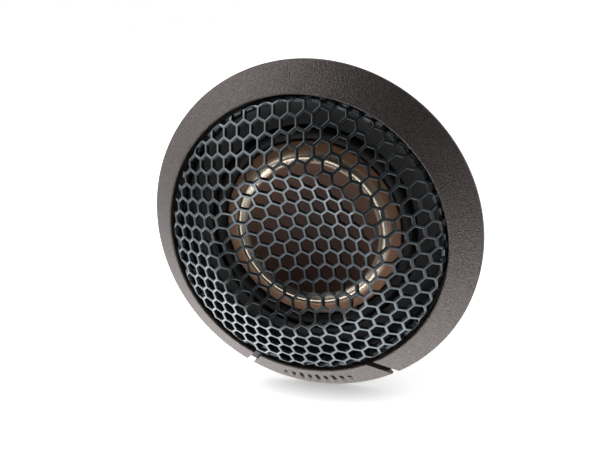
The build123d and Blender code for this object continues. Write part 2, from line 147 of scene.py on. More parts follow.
POLARITY_PLACE = (3.95, -5.35)  # X and Z of the plus sign; the minus sign mirrors it
POLARITY_ARM = 0.5
POLARITY_STROKE = 0.16
POLARITY_RISE = 0.06
POLARITY_ROOT = 0.05            # how far the marks go into the board

# ---- how finely the shapes are divided ----
RING_STEPS = 288
BADGE_STEPS = 72
FINE_STEPS = 240                # the dome, surround and faceplate, round the axis
COIL_STEPS = 144
THREAD_STEPS = 72
THREAD_ROWS = 110
CORNER_STEPS = 6
BAR_END_STEPS = 8
GRILLE_ROLL_STEPS = 8
SIDE_POINTS = 3                 # along each side of a hole
CORNER_POINTS = 3               # round each corner between them
HOLE_EDGE_STEPS = 4
DISH_POINTS = 50                # across the dome's dish, its bead and its outer cone
BEAD_POINTS = 40
CONE_POINTS = 10
SURROUND_STEPS = 24
HORN_STEPS = 12
WIRE_STEPS = 6

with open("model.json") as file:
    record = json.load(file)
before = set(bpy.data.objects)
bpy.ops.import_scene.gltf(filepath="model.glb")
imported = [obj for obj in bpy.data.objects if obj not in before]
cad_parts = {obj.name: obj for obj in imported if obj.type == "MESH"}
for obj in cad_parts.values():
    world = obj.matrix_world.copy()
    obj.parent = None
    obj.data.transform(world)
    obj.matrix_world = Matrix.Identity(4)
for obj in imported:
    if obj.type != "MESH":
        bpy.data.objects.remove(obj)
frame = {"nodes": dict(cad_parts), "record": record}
cad_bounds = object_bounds()
nodes = frame["nodes"]


# ------------------------------------------------------------------ mesh helpers
def add_mesh(name, vertices, faces):
    """A new smooth-shaded object from points in millimetres."""
    mesh = bpy.data.meshes.new(name)
    mesh.from_pydata([tuple(c * MM for c in v) for v in vertices], [], faces)
    mesh.update()
    mesh.shade_smooth()
    piece = bpy.data.objects.new(name, mesh)
    bpy.context.scene.collection.objects.link(piece)
    return piece


def tidy(piece, merge=0.002):
    """Joins doubled points, drops slivers and turns every face outwards."""
    made = bmesh.new()
    made.from_mesh(piece.data)
    bmesh.ops.remove_doubles(made, verts=made.verts, dist=merge * MM)
    bmesh.ops.dissolve_degenerate(made, edges=made.edges, dist=merge * MM / 2)
    bmesh.ops.recalc_face_normals(made, faces=made.faces)
    made.to_mesh(piece.data)
    made.free()
    piece.data.shade_smooth()
    return piece


def soften(piece, width, segments, angle):
    """Rounds the edges sharper than angle and keeps flat faces flat."""
    bevel = piece.modifiers.new("rounded_edges", "BEVEL")
    bevel.width = width * MM
    bevel.segments = segments
    bevel.limit_method = "ANGLE"
    bevel.angle_limit = math.radians(angle)
    bevel.harden_normals = True


def rounded(corners, radii):
    """The closed outline through these (radius, depth) corners, each an arc of its own radius."""
    outline = []
    count = len(corners)
    for i, radius in enumerate(radii):
        before, here, after = (Vector(corners[(i + k) % count]) for k in (-1, 0, 1))
        if radius == 0:
            outline.append(tuple(here))
            continue
        into, out = (before - here).normalized(), (after - here).normalized()
        half = into.angle(out) / 2
        middle = here + (into + out).normalized() * radius / math.sin(half)
        start = here + into * radius / math.tan(half) - middle
        sweep = start.angle_signed(here + out * radius / math.tan(half) - middle)
        for step in range(CORNER_STEPS + 1):
            turn = -sweep * step / CORNER_STEPS
            outline.append(tuple(middle + Matrix.Rotation(turn, 2) @ start))
    return outline


def turned(name, outline, steps, ends=None):
    """The closed (radius, depth) outline turned about the axis.

    ends(radius) gives the first and last angle of a part turn.
    """
    vertices, faces = [], []
    count = len(outline)
    rows = steps if ends is None else steps + 1
    for row in range(rows):
        for radius, depth in outline:
            first, last = (0, 2 * math.pi) if ends is None else ends(radius)
            angle = first + (last - first) * row / steps
            vertices.append((radius * math.cos(angle), -depth, radius * math.sin(angle)))
    for row in range(steps):
        this, following = row * count, (row + 1) % rows * count
        for k in range(count):
            after = (k + 1) % count
            faces.append((this + k, this + after, following + after, following + k))
    if ends is not None:
        faces.append(tuple(range(count)))
        faces.append(tuple(reversed(range(steps * count, steps * count + count))))
    return tidy(add_mesh(name, vertices, faces))


def skin_line(centre, corner, end, bend, sphere_steps, bend_steps):
    """(radius, depth) along a formed sheet's front: a dish, a rounded fold and an outer cone."""
    rise = corner[1] - centre
    sphere = (corner[0] ** 2 + rise ** 2) / (2 * rise)
    slope = (end[1] - corner[1]) / (end[0] - corner[0])
    tilt = math.atan(slope)

    def miss(radius):
        """How far the fold's arc, centred at this radius, falls short of touching the dish's sphere."""
        depth = corner[1] + slope * (radius - corner[0]) - bend / math.cos(tilt)
        return math.hypot(radius, depth - centre - sphere) - sphere - bend

    inside, outside = corner[0] - 2 * bend, corner[0] + 2 * bend
    for _ in range(40):
        middle = (inside + outside) / 2
        if (miss(middle) > 0) == (miss(inside) > 0):
            inside = middle
        else:
            outside = middle
    fold_radius = (inside + outside) / 2
    fold_depth = corner[1] + slope * (fold_radius - corner[0]) - bend / math.cos(tilt)
    lean = math.atan2(fold_radius, centre + sphere - fold_depth)
    line = []
    for k in range(sphere_steps + 1):
        angle = lean * k / sphere_steps
        line.append((sphere * math.sin(angle), centre + sphere * (1 - math.cos(angle))))
    for k in range(1, bend_steps + 1):
        angle = -lean + (lean - tilt) * k / bend_steps
        line.append((fold_radius + bend * math.sin(angle), fold_depth + bend * math.cos(angle)))
    line.append(end)
    return line


def thickened(line, thickness):
    """A closed outline: the line, then the same line moved back through the sheet."""
    back = []
    for k, (radius, depth) in enumerate(line):
        before, after = line[max(k - 1, 0)], line[min(k + 1, len(line) - 1)]
        run, rise = after[0] - before[0], after[1] - before[1]
        length = math.hypot(run, rise)
        across = radius + rise / length * thickness if radius > 0 else 0
        back.append((across, depth - run / length * thickness))
    return line + back[::-1]


# ------------------------------------------------------------------ materials
class Look:
    """A procedural material under construction. Coordinates are the object's own, in metres."""

    def __init__(self, name, colour, roughness, metallic=0.0):
        self.material = bpy.data.materials.new(name)
        self.material.use_nodes = True
        self.tree = self.material.node_tree
        self.shader = self.tree.nodes["Principled BSDF"]
        self.colour = (*colour, 1.0)
        self.shader.inputs["Base Color"].default_value = self.colour
        self.shader.inputs["Roughness"].default_value = roughness
        self.shader.inputs["Metallic"].default_value = metallic
        self.place = self.tree.nodes.new("ShaderNodeTexCoord").outputs["Object"]
        self.normal = None

    def node(self, kind, **inputs):
        made = self.tree.nodes.new(kind)
        for name, value in inputs.items():
            socket = made.inputs[name.replace("_", " ")]
            if isinstance(value, bpy.types.NodeSocket):
                self.tree.links.new(value, socket)
            else:
                socket.default_value = value
        return made

    def noise(self, size, detail=3.0, roughness=0.55, stretch=None):
        """Noise whose features are about size millimetres across."""
        place = self.place
        if stretch:
            mapped = self.node("ShaderNodeMapping", Vector=place)
            mapped.inputs["Scale"].default_value = stretch
            place = mapped.outputs[0]
        scale = 1 / (size * MM)
        settings = {"Scale": scale, "Detail": detail, "Roughness": roughness}
        return self.node("ShaderNodeTexNoise", Vector=place, **settings).outputs["Fac"]

    def cells(self, size, feature="F1"):
        made = self.node("ShaderNodeTexVoronoi", Vector=self.place, Scale=1 / (size * MM))
        made.feature = feature
        return made.outputs["Distance"]

    def ramp(self, value, *stops):
        made = self.node("ShaderNodeValToRGB", Fac=value)
        elements = made.color_ramp.elements
        elements.remove(elements[1])
        elements[0].position = stops[0][0]
        for at, _ in stops[1:]:
            elements.new(at)
        for element, (_, colour) in zip(elements, stops):
            element.color = (*colour, 1.0)
        return made.outputs["Color"]

    def spread(self, value, low_value, high_value):
        made = self.node("ShaderNodeMapRange", Value=value)
        made.inputs["To Min"].default_value = low_value
        made.inputs["To Max"].default_value = high_value
        return made.outputs["Result"]

    def tint(self, value, dark, light):
        """The colour varies between these two multiples of itself as value goes from 0.3 to 0.7."""
        dark_colour = [min(1.0, c * dark) for c in self.colour[:3]]
        light_colour = [min(1.0, c * light) for c in self.colour[:3]]
        self.paint(self.ramp(value, (0.3, dark_colour), (0.7, light_colour)))

    def paint(self, colour):
        self.tree.links.new(colour, self.shader.inputs["Base Color"])

    def gloss(self, value, low_value, high_value):
        self.tree.links.new(self.spread(value, low_value, high_value), self.shader.inputs["Roughness"])

    def bump(self, height, depth, strength=1.0):
        """Relief of this depth in millimetres."""
        made = self.node("ShaderNodeBump", Height=height, Distance=depth * MM, Strength=strength)
        if self.normal is not None:
            self.tree.links.new(self.normal, made.inputs["Normal"])
        self.normal = made.outputs["Normal"]
        self.tree.links.new(self.normal, self.shader.inputs["Normal"])

    def coat(self, weight, roughness):
        self.shader.inputs["Coat Weight"].default_value = weight
        self.shader.inputs["Coat Roughness"].default_value = roughness

    def radius(self):
        """Distance from the tweeter's axis, in metres."""
        parts = self.node("ShaderNodeSeparateXYZ", Vector=self.place)
        flat = self.node("ShaderNodeCombineXYZ", X=parts.outputs["X"], Z=parts.outputs["Z"])
        length = self.node("ShaderNodeVectorMath")
        length.operation = "LENGTH"
        self.tree.links.new(flat.outputs[0], length.inputs[0])
        return length.outputs["Value"]


def powder_coat():
    look = Look("powder_coat", (0.122, 0.105, 0.101), 0.4, metallic=0.75)
    look.tint(look.noise(0.15, detail=2.0, roughness=0.7), 0.35, 2.0)
    look.gloss(look.noise(0.35), 0.34, 0.52)
    look.bump(look.noise(0.9, detail=2.0), 0.03, 0.6)
    look.bump(look.noise(0.2, detail=2.0, roughness=0.6), 0.16, 1.0)
    return look.material


def grille_paint():
    look = Look("grille_paint", (0.085, 0.101, 0.112), 0.3, metallic=0.9)
    look.tint(look.noise(2.5), 0.85, 1.2)
    look.gloss(look.noise(0.4), 0.28, 0.42)
    look.bump(look.noise(0.12, detail=3.0), 0.008, 0.5)
    look.coat(0.6, 0.22)
    return look.material


def gloss_black():
    look = Look("gloss_black", (0.009, 0.0095, 0.012), 0.3)
    look.gloss(look.noise(1.5), 0.25, 0.36)
    look.shader.inputs["Specular IOR Level"].default_value = 0.25
    look.bump(look.noise(1.2, detail=1.0), 0.006, 0.4)
    return look.material


def motif_ink():
    """Matt black paint in the badge's engraving."""
    look = Look("motif_ink", (0.012, 0.011, 0.011), 0.9)
    look.shader.inputs["Specular IOR Level"].default_value = 0.1
    look.bump(look.noise(0.2), 0.01, 0.5)
    return look.material


def black_plastic():
    look = Look("black_plastic", (0.018, 0.018, 0.019), 0.55)
    look.tint(look.noise(1.0), 0.8, 1.3)
    look.gloss(look.noise(0.3), 0.45, 0.65)
    look.bump(look.cells(0.22, "SMOOTH_F1"), 0.02, 0.5)
    return look.material


def foam():
    look = Look("foam", (0.022, 0.022, 0.023), 0.9)
    look.tint(look.noise(0.3), 0.6, 1.5)
    look.bump(look.cells(0.25), 0.08, 0.9)
    return look.material


def surround_rubber():
    look = Look("surround_rubber", (0.016, 0.016, 0.018), 0.6)
    look.shader.inputs["Specular IOR Level"].default_value = 0.3
    look.gloss(look.noise(0.4), 0.5, 0.7)
    look.bump(look.cells(0.16, "SMOOTH_F1"), 0.01, 0.5)
    return look.material


def dome_metal():
    """Dark copper inside, darker towards the middle, a polished bead at the fold and dull copper outside it.
    The bead's pale gold colour is a painted highlight on its copper.
    """
    look = Look("dome_metal", (0.3, 0.19, 0.15), 0.3, metallic=1.0)
    across = look.node("ShaderNodeMapRange", Value=look.radius(), From_Max=DOME_RADIUS * MM).outputs[0]
    look.paint(look.ramp(
        across,
        (0.0, (0.062, 0.047, 0.046)), (0.45, (0.08, 0.05, 0.043)), (0.75, (0.11, 0.064, 0.048)),
        # painted highlight: the pale gold band over the polished bead stands in for its highlight
        (0.80, (0.95, 0.84, 0.68)), (0.845, (0.95, 0.83, 0.66)),
        (0.90, (0.33, 0.17, 0.095)), (1.0, (0.28, 0.145, 0.08)),
    ))
    dullness = look.ramp(
        across,
        (0.0, (0.45, 0.45, 0.45)), (0.75, (0.42, 0.42, 0.42)), (0.79, (0.27, 0.27, 0.27)),
        (0.855, (0.27, 0.27, 0.27)), (0.88, (0.5, 0.5, 0.5)),
    )
    look.tree.links.new(dullness, look.shader.inputs["Roughness"])
    solid = look.ramp(across, (0.86, (1.0, 1.0, 1.0)), (0.885, (0.35, 0.35, 0.35)))
    look.tree.links.new(solid, look.shader.inputs["Metallic"])
    return look.material


def satin_metal(name, colour, roughness, grain=0.3):
    look = Look(name, colour, roughness, metallic=1.0)
    look.tint(look.noise(3.0, detail=4.0), 0.85, 1.1)
    look.gloss(look.noise(grain), roughness * 0.75, roughness * 1.3)
    look.bump(look.noise(grain, detail=4.0), 0.006, 0.5)
    return look.material


def copper_wire():
    look = Look("copper_wire", (0.78, 0.38, 0.2), 0.28, metallic=1.0)
    look.tint(look.noise(0.6), 0.8, 1.15)
    look.coat(0.6, 0.12)
    return look.material


def wire_insulation():
    """Red on the positive side, which is +X, and black on the other."""
    look = Look("wire_insulation", (0.4, 0.02, 0.02), 0.35)
    side = look.node("ShaderNodeSeparateXYZ", Vector=look.place).outputs["X"]
    far = look.node("ShaderNodeMapRange", Value=side, From_Min=-MM, From_Max=MM)
    look.paint(look.ramp(far.outputs[0], (0.49, (0.015, 0.015, 0.016)), (0.51, (0.42, 0.02, 0.018))))
    look.gloss(look.noise(0.5), 0.28, 0.45)
    look.bump(look.noise(0.4), 0.01, 0.4)
    return look.material


def felt():
    look = Look("felt", (0.06, 0.06, 0.062), 0.95)
    look.tint(look.noise(0.2, detail=6.0, roughness=0.75), 0.5, 1.7)
    look.bump(look.noise(0.1, detail=6.0, roughness=0.8), 0.08, 0.9)
    look.shader.inputs["Sheen Weight"].default_value = 0.4
    return look.material


def board():
    look = Look("board", (0.23, 0.115, 0.05), 0.5)
    look.tint(look.noise(0.5, detail=6.0, stretch=(0.25, 1.0, 2.0)), 0.7, 1.25)
    look.bump(look.noise(0.12, stretch=(0.3, 1.0, 2.0)), 0.01, 0.5)
    return look.material


def sleeve_plastic():
    look = Look("sleeve_plastic", (0.02, 0.02, 0.02), 0.4)
    look.gloss(look.noise(0.3), 0.3, 0.5)
    look.bump(look.noise(0.5), 0.02, 0.5)
    return look.material


LOOKS = {
    "powder_coat": powder_coat(),
    "grille_paint": grille_paint(),
    "gloss_black": gloss_black(),
    "black_plastic": black_plastic(),
    "foam": foam(),
    "surround_rubber": surround_rubber(),
    "dome_metal": dome_metal(),
    "former_metal": satin_metal("former_metal", (0.6, 0.6, 0.62), 0.3),
    "copper_wire": copper_wire(),
    "sleeve_plastic": sleeve_plastic(),
    "wire_insulation": wire_insulation(),
    "plated_steel": satin_metal("plated_steel", (0.56, 0.54, 0.49), 0.35),
    "magnet_nickel": satin_metal("magnet_nickel", (0.66, 0.64, 0.6), 0.16, grain=0.8),
    "felt": felt(),
    "screw_steel": satin_metal("screw_steel", (0.58, 0.57, 0.55), 0.28),
    "board": board(),
    "brass_tin": satin_metal("brass_tin", (0.74, 0.56, 0.27), 0.25),
}


def dress(piece, slot):
    """Gives a piece the finish of the record's slot."""
    piece.data.materials.clear()
    piece.data.materials.append(LOOKS[slot])


for part in frame["record"]["subparts"]:
    dress(nodes[part["node"]], part["material_slot"])


def stands_for(piece, node, body="frame"):
    """The detailed piece rides on the body and takes the CAD node's place and finish."""
    slot = next(p["material_slot"] for p in frame["record"]["subparts"] if p["node"] == node)
    dress(piece, slot)
    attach(piece, body)
    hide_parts(node)


# ------------------------------------------------------------------ trim ring and badge
RING_OUTLINE = rounded(
    [
        (RING_RADIUS, 0),
        (RING_RADIUS, RING_EDGE),
        (RIM_RADIUS + RIM_LAND, RIM_DEPTH),
        (RIM_RADIUS, RIM_DEPTH),
        (RIM_RADIUS, DECK_TOP),
        (DECK_SHOULDER + RING_GAP, DECK_TOP),
        (RING_RADIUS - RING_LIP, FLANGE_EDGE + RING_GAP),
        (RING_RADIUS - RING_LIP, 0),
    ],
    RING_CORNERS,
)


def slit_angle(radius, gap):
    """The angle from straight down to the badge's flared end at this radius, moved out by gap."""
    half = BADGE_HALF + gap / math.cos(BADGE_FLARE)
    lean = math.tan(BADGE_FLARE)
    # on the end: x = half + (BADGE_TOP - z) * lean, with x = radius sin(a) and z = -radius cos(a)
    reach = half + BADGE_TOP * lean
    return math.asin(reach / radius * math.cos(BADGE_FLARE)) + BADGE_FLARE


def make_ring():
    ring = turned(
        "trim_ring_fine", RING_OUTLINE, RING_STEPS,
        ends=lambda r: (DOWN + slit_angle(r, SLIT), DOWN + 2 * math.pi - slit_angle(r, SLIT)),
    )
    soften(ring, RING_BEVEL, segments=3, angle=40)
    stands_for(ring, "trim_ring")


def stadium(length, width):
    """Points round a slot: two half circles joined by straight sides, longer along the second axis."""
    points = []
    radius = width / 2
    for side in (1, -1):
        for k in range(BAR_END_STEPS + 1):
            angle = math.pi * k / BAR_END_STEPS
            along = length / 2 - radius + radius * math.sin(angle)
            points.append((side * radius * math.cos(angle), side * along))
    return points


def prisms(name, shapes):
    """One object of closed prisms. Each shape is (outline, origin, across, along, normal, levels)."""
    vertices, faces = [], []
    for outline, origin, across, along, normal, levels in shapes:
        first, count = len(vertices), len(outline)
        for level in levels:
            vertices += [origin + across * x + along * y + normal * level for x, y in outline]
        for k in range(count):
            after = (k + 1) % count
            faces.append((first + k, first + after, first + count + after, first + count + k))
        faces.append(tuple(range(first, first + count)))
        faces.append(tuple(range(first + count, first + 2 * count)))
    return tidy(add_mesh(name, vertices, faces))


def badge_bars(name, inset, levels):
    """The nine bars of the badge's motif, between two levels above the cone's face."""
    shapes = []
    for place, height in enumerate(BAR_HEIGHTS):
        angle = DOWN + (place - len(BAR_HEIGHTS) // 2) * BAR_STEP
        outward = Vector((math.cos(angle), 0, math.sin(angle)))
        depth = RING_EDGE + (RING_RADIUS - BAR_RADIUS) * FACE_SLOPE
        origin = outward * BAR_RADIUS + Vector((0, -depth, 0))
        normal = (outward * FACE_SLOPE + Vector((0, -1, 0))).normalized()
        across = Vector((-math.sin(angle), 0, math.cos(angle)))
        shape = stadium(height - 2 * inset, BAR_WIDTH - 2 * inset)
        shapes.append((shape, origin, across, normal.cross(across), normal, levels))
    return prisms(name, shapes)


def carve(piece, cutter):
    """Cuts the cutter out of the piece, with its other modifiers applied, and removes the cutter."""
    cut = piece.modifiers.new("carved", "BOOLEAN")
    cut.operation = "DIFFERENCE"
    cut.solver = "EXACT"
    cut.object = cutter
    shown = piece.evaluated_get(bpy.context.evaluated_depsgraph_get())
    piece_mesh = bpy.data.meshes.new_from_object(shown)
    piece.modifiers.clear()
    piece.data = piece_mesh
    bpy.data.objects.remove(cutter)


def make_badge():
    badge = turned(
        "badge_plate_fine", RING_OUTLINE, BADGE_STEPS,
        ends=lambda r: (DOWN - slit_angle(r, 0), DOWN + slit_angle(r, 0)),
    )
    soften(badge, RING_BEVEL, segments=3, angle=40)
    carve(badge, badge_bars("bar_cutter", 0, (-BAR_CUT, 1)))
    stands_for(badge, "badge_plate")
    ink = badge_bars("badge_motif", INK_INSET, (-BAR_CUT - INK_ROOT, INK_TOP))
    ink.data.materials.append(motif_ink())
    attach(ink, "frame")


# ------------------------------------------------------------------ grille
def grille_line():
    """(radius, depth) of the grille's front skin from the axis to the foot of its skirt."""
    shoulder = (GRILLE_RADIUS, GRILLE_SHOULDER)
    slope = (shoulder[1] - GRILLE_CORNER[1]) / (shoulder[0] - GRILLE_CORNER[0])
    tilt = math.atan(slope)
    set_back = GRILLE_ROLL * math.tan((math.pi / 2 + tilt) / 2)
    start = (shoulder[0] - set_back * math.cos(tilt), shoulder[1] - set_back * math.sin(tilt))
    line = skin_line(GRILLE_CENTRE, GRILLE_CORNER, start, GRILLE_CREST, sphere_steps=60, bend_steps=14)
    middle = (GRILLE_RADIUS - GRILLE_ROLL, shoulder[1] - set_back)
    for k in range(1, GRILLE_ROLL_STEPS + 1):
        angle = -tilt + (math.pi / 2 + tilt) * k / GRILLE_ROLL_STEPS
        line.append((middle[0] + GRILLE_ROLL * math.sin(angle), middle[1] + GRILLE_ROLL * math.cos(angle)))
    line.append((GRILLE_RADIUS, SKIRT_SEAT))
    return line


class Skin:
    """Places flat-pattern points on the formed sheet.

    The plan view is kept up to the skirt's roll. From there the pattern runs on down the sheet by length.
    """

    def __init__(self, line):
        self.points = np.array(line)
        step = np.diff(self.points, axis=0)
        self.length = np.concatenate([[0], np.cumsum(np.hypot(step[:, 0], step[:, 1]))])
        roll_start = -(GRILLE_ROLL_STEPS + 2)
        self.roll = line[roll_start][0]
        self.roll_length = self.length[roll_start]
        beyond = self.points[-1:] + (self.points[-1:] - self.points[-2:-1])
        ahead = np.diff(self.points, axis=0, append=beyond)
        lean = np.arctan2(ahead[:, 1], ahead[:, 0])
        lean[1:] = (lean[1:] + lean[:-1]) / 2
        self.lean = lean
        self.reach = self.roll + self.length[-1] - self.roll_length

    def at(self, x, z, sink):
        """The point sink millimetres below the front skin, square to it, for the flat pattern's (x, z)."""
        flat = math.hypot(x, z)
        if flat < 1e-6:
            return 0.0, -(self.points[0][1] - sink), 0.0
        flat_in = min(flat, self.reach)
        if flat_in <= self.roll:
            place = np.interp(flat_in, self.points[:, 0], self.length)
        else:
            place = self.roll_length + flat_in - self.roll
        radius = np.interp(place, self.length, self.points[:, 0])
        depth = np.interp(place, self.length, self.points[:, 1])
        lean = np.interp(place, self.length, self.lean)
        radius += math.sin(lean) * sink
        depth -= math.cos(lean) * sink
        return x / flat * radius, -depth, z / flat * radius


def hexagon(inset_radius, corner):
    """Points round a hexagon with this apothem and rounded corners."""
    points = []
    for side in range(6):
        facing = math.pi / 3 * side
        half = (inset_radius - corner) * math.tan(math.pi / 6)
        for k in range(SIDE_POINTS):
            along = half * (2 * k / (SIDE_POINTS - 1) - 1)
            points.append((
                inset_radius * math.cos(facing) - along * math.sin(facing),
                inset_radius * math.sin(facing) + along * math.cos(facing),
            ))
        out = (inset_radius - corner) / math.cos(math.pi / 6)
        middle = (out * math.cos(facing + math.pi / 6), out * math.sin(facing + math.pi / 6))
        for k in range(1, CORNER_POINTS + 1):
            angle = facing + math.pi / 3 * k / (CORNER_POINTS + 1)
            points.append((middle[0] + corner * math.cos(angle), middle[1] + corner * math.sin(angle)))
    return points


def make_grille():
    """A honeycomb sheet. Each cell runs from the web's middle over a rounded edge and down its wall."""
    skin = Skin(grille_line())
    wall = (CELL_PITCH - CELL_WEB) / 2
    # each ring: apothem of its hexagon, corner radius, and depth below the front skin
    rings = [(CELL_PITCH / 2, 0.0, 0.0), (wall + HOLE_EDGE, HOLE_CORNER * EASED_CORNER, 0.0)]
    for k in range(1, HOLE_EDGE_STEPS + 1):
        angle = math.pi / 2 * k / HOLE_EDGE_STEPS
        out, sink = HOLE_EDGE * (1 - math.sin(angle)), HOLE_EDGE * (1 - math.cos(angle))
        rings.append((wall + out, HOLE_CORNER, sink))
    for k in range(HOLE_EDGE_STEPS + 1):
        angle = math.pi / 2 * k / HOLE_EDGE_STEPS
        out, rise = HOLE_EDGE * (1 - math.cos(angle)), HOLE_EDGE * (1 - math.sin(angle))
        rings.append((wall + out, HOLE_CORNER, GRILLE_SHEET - rise))
    rings.append((CELL_PITCH / 2, 0.0, GRILLE_SHEET))
    outlines = [hexagon(apothem, corner) for apothem, corner, _ in rings]
    count = len(outlines[0])
    vertices, faces = [], []
    reach = math.ceil(skin.reach / CELL_PITCH) + 2
    cosine, sine = math.cos(CELL_TURN), math.sin(CELL_TURN)
    last_hole = skin.reach - BLANK_RIM
    for row in range(-reach, reach + 1):
        for column in range(-2 * reach, 2 * reach + 1):
            along = (column + row / 2) * CELL_PITCH
            across = row * CELL_PITCH * math.sqrt(3) / 2
            cx = CELL_PLACE[0] + along * cosine - across * sine
            cz = CELL_PLACE[1] + along * sine + across * cosine
            if math.hypot(cx, cz) > skin.reach + CELL_PITCH * CELL_REACH:
                continue
            first = len(vertices)
            for outline, (_, _, sink) in zip(outlines, rings):
                for px, pz in outline:
                    x, z = cx + px * cosine - pz * sine, cz + px * sine + pz * cosine
                    vertices.append(skin.at(x, z, sink))
            if math.hypot(cx, cz) < last_hole:
                for ring in range(len(rings) - 1):
                    for k in range(count):
                        a, b = first + ring * count + k, first + ring * count + (k + 1) % count
                        faces.append((a, b, b + count, a + count))
            else:
                last = first + (len(rings) - 1) * count
                faces.append(tuple(range(first, first + count)))
                faces.append(tuple(reversed(range(last, last + count))))
    grille = tidy(add_mesh("grille_fine", vertices, faces), merge=0.01)
    made = bmesh.new()
    made.from_mesh(grille.data)
    open_edges = [e for e in made.edges if e.is_boundary]
    bmesh.ops.bridge_loops(made, edges=open_edges)
    bmesh.ops.recalc_face_normals(made, faces=made.faces)
    made.to_mesh(grille.data)
    made.free()
    grille.data.shade_smooth()
    stands_for(grille, "grille")


# ------------------------------------------------------------------ diaphragm and what surrounds it
def make_dome():
    """The dish and its outer cone, with a raised bead round the fold between them."""
    end = (DOME_RADIUS, DOME_EDGE)
    fold = skin_line(DOME_CENTRE, DOME_FOLD, end, DOME_FOLD_ROUND, sphere_steps=400, bend_steps=60)
    base = np.array(fold)
    inside, outside = DOME_FOLD[0] - BEAD_HALF, DOME_FOLD[0] + BEAD_HALF
    radii = np.concatenate([
        np.linspace(0, inside, DISH_POINTS, endpoint=False),
        np.linspace(inside, outside, BEAD_POINTS, endpoint=False),
        np.linspace(outside, DOME_RADIUS, CONE_POINTS),
    ])
    line = []
    for radius in radii:
        away = min(1.0, abs(radius - DOME_FOLD[0]) / BEAD_HALF)
        bead = BEAD_HEIGHT * math.cos(away * math.pi / 2) ** 2
        line.append((float(radius), float(np.interp(radius, base[:, 0], base[:, 1]) + bead)))
    dome = turned("dome_fine", thickened(line, DOME_SHEET), FINE_STEPS)
    stands_for(dome, "dome", "diaphragm")


def make_surround():
    """The half roll bends: its lip goes with the dome, its foot stays on the deck."""
    line = [(SURROUND_LIP, FACEPLATE_FOOT)]
    for k in range(SURROUND_STEPS + 1):
        angle = math.pi * (1 - k / SURROUND_STEPS)
        across, rise = ROLL_RADIUS * math.cos(angle), ROLL_RADIUS * math.sin(angle)
        line.append((ROLL_MIDDLE + across, FACEPLATE_FOOT + rise))
    line.append((SURROUND_FOOT, FACEPLATE_FOOT))
    surround = turned("surround_fine", thickened(line, SURROUND_SHEET), FINE_STEPS)
    dress(surround, "surround_rubber")
    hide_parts("surround")
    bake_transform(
        surround, "diaphragm", "frame",
        start=((ROLL_MIDDLE - ROLL_RADIUS) * MM, 0, 0), end=((ROLL_MIDDLE + ROLL_RADIUS) * MM, 0, 0),
    )
    # the roll is round the axis, so its share goes by radius and not along one line
    weights = surround.data.attributes["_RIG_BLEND"]
    for vertex, weight in zip(surround.data.vertices, weights.data):
        radius = math.hypot(vertex.co.x, vertex.co.z) / MM
        share = (radius - ROLL_MIDDLE + ROLL_RADIUS) / (2 * ROLL_RADIUS)
        share = min(1.0, max(0.0, share))
        weight.value = share * share * (3 - 2 * share)


def make_faceplate():
    """The short horn round the surround, a quarter of an ellipse in section."""
    horn = [(FACEPLATE_BORE, FACEPLATE_FOOT), (FACEPLATE_BORE, 0.0)]
    throat = FACEPLATE_BORE + FACEPLATE_LIP
    for k in range(HORN_STEPS + 1):
        angle = math.pi / 2 * k / HORN_STEPS
        horn.append((
            throat + (FACEPLATE_RADIUS - throat) * math.sin(angle),
            FACEPLATE_LIP + (DECK_TOP - FACEPLATE_LIP) * (1 - math.cos(angle)),
        ))
    horn.append((FACEPLATE_RADIUS, FACEPLATE_FOOT))
    plate = turned("faceplate_fine", horn, FINE_STEPS)
    soften(plate, FACEPLATE_BEVEL, segments=2, angle=40)
    stands_for(plate, "faceplate")


def make_voice_coil():
    """The outer layer of the winding, turn by turn."""
    pitch = (COIL_TOP - COIL_END) / COIL_TURNS
    outline = [(COIL_INSIDE, COIL_END), (COIL_INSIDE, COIL_TOP)]
    for turn in range(COIL_TURNS):
        middle = COIL_TOP - pitch * (turn + 0.5)
        for k in range(WIRE_STEPS + 1):
            angle = math.pi / 2 - math.pi * k / WIRE_STEPS
            radius = COIL_RADIUS - pitch / 2 * (1 - math.cos(angle))
            outline.append((radius, middle + pitch / 2 * math.sin(angle) * TURN_FULLNESS))
    stands_for(turned("voice_coil_wound", outline, COIL_STEPS), "voice_coil", "diaphragm")


def make_stud():
    """The stud with its thread cut as a helix behind the nut."""
    head_radius, head_height = STUD_HEAD
    plain = [
        (0.0, CUP_FLOOR + head_height), (head_radius - STUD_HEAD_BEVEL, CUP_FLOOR + head_height),
        (head_radius, CUP_FLOOR + head_height - STUD_HEAD_BEVEL), (head_radius, CUP_FLOOR),
        (STUD_RADIUS, CUP_FLOOR), (STUD_RADIUS, NUT_END),
        (STUD_GROOVE, NUT_END), (STUD_GROOVE, THREAD_START),
    ]
    steps = THREAD_STEPS
    run = STUD_END - THREAD_START
    threaded = [THREAD_START + run * k / THREAD_ROWS for k in range(THREAD_ROWS + 1)]
    vertices, faces = [], []
    for radius, depth in plain:
        for step in range(steps):
            angle = 2 * math.pi * step / steps
            vertices.append((radius * math.cos(angle), -depth, radius * math.sin(angle)))
    for depth in threaded:
        for step in range(steps):
            turn = step / steps
            phase = (depth / THREAD_PITCH + turn) % 1
            fall = THREAD_FLANK * abs(2 * phase - 1) - THREAD_CREST
            cut = THREAD_DEPTH * min(1.0, max(0.0, fall))
            limit = STUD_RADIUS - max(0.0, STUD_BEVEL - (depth - STUD_END))
            radius = min(STUD_RADIUS - cut, limit)
            angle = 2 * math.pi * turn
            vertices.append((radius * math.cos(angle), -depth, radius * math.sin(angle)))
    count = len(plain) + len(threaded)
    for row in range(count - 1):
        for step in range(steps):
            a, b = row * steps + step, row * steps + (step + 1) % steps
            faces.append((a, b, b + steps, a + steps))
    faces.append(tuple((count - 1) * steps + step for step in range(steps)))
    stud = tidy(add_mesh("stud_threaded", vertices, faces))
    soften(stud, THREAD_BEVEL, segments=2, angle=60)
    stands_for(stud, "stud")


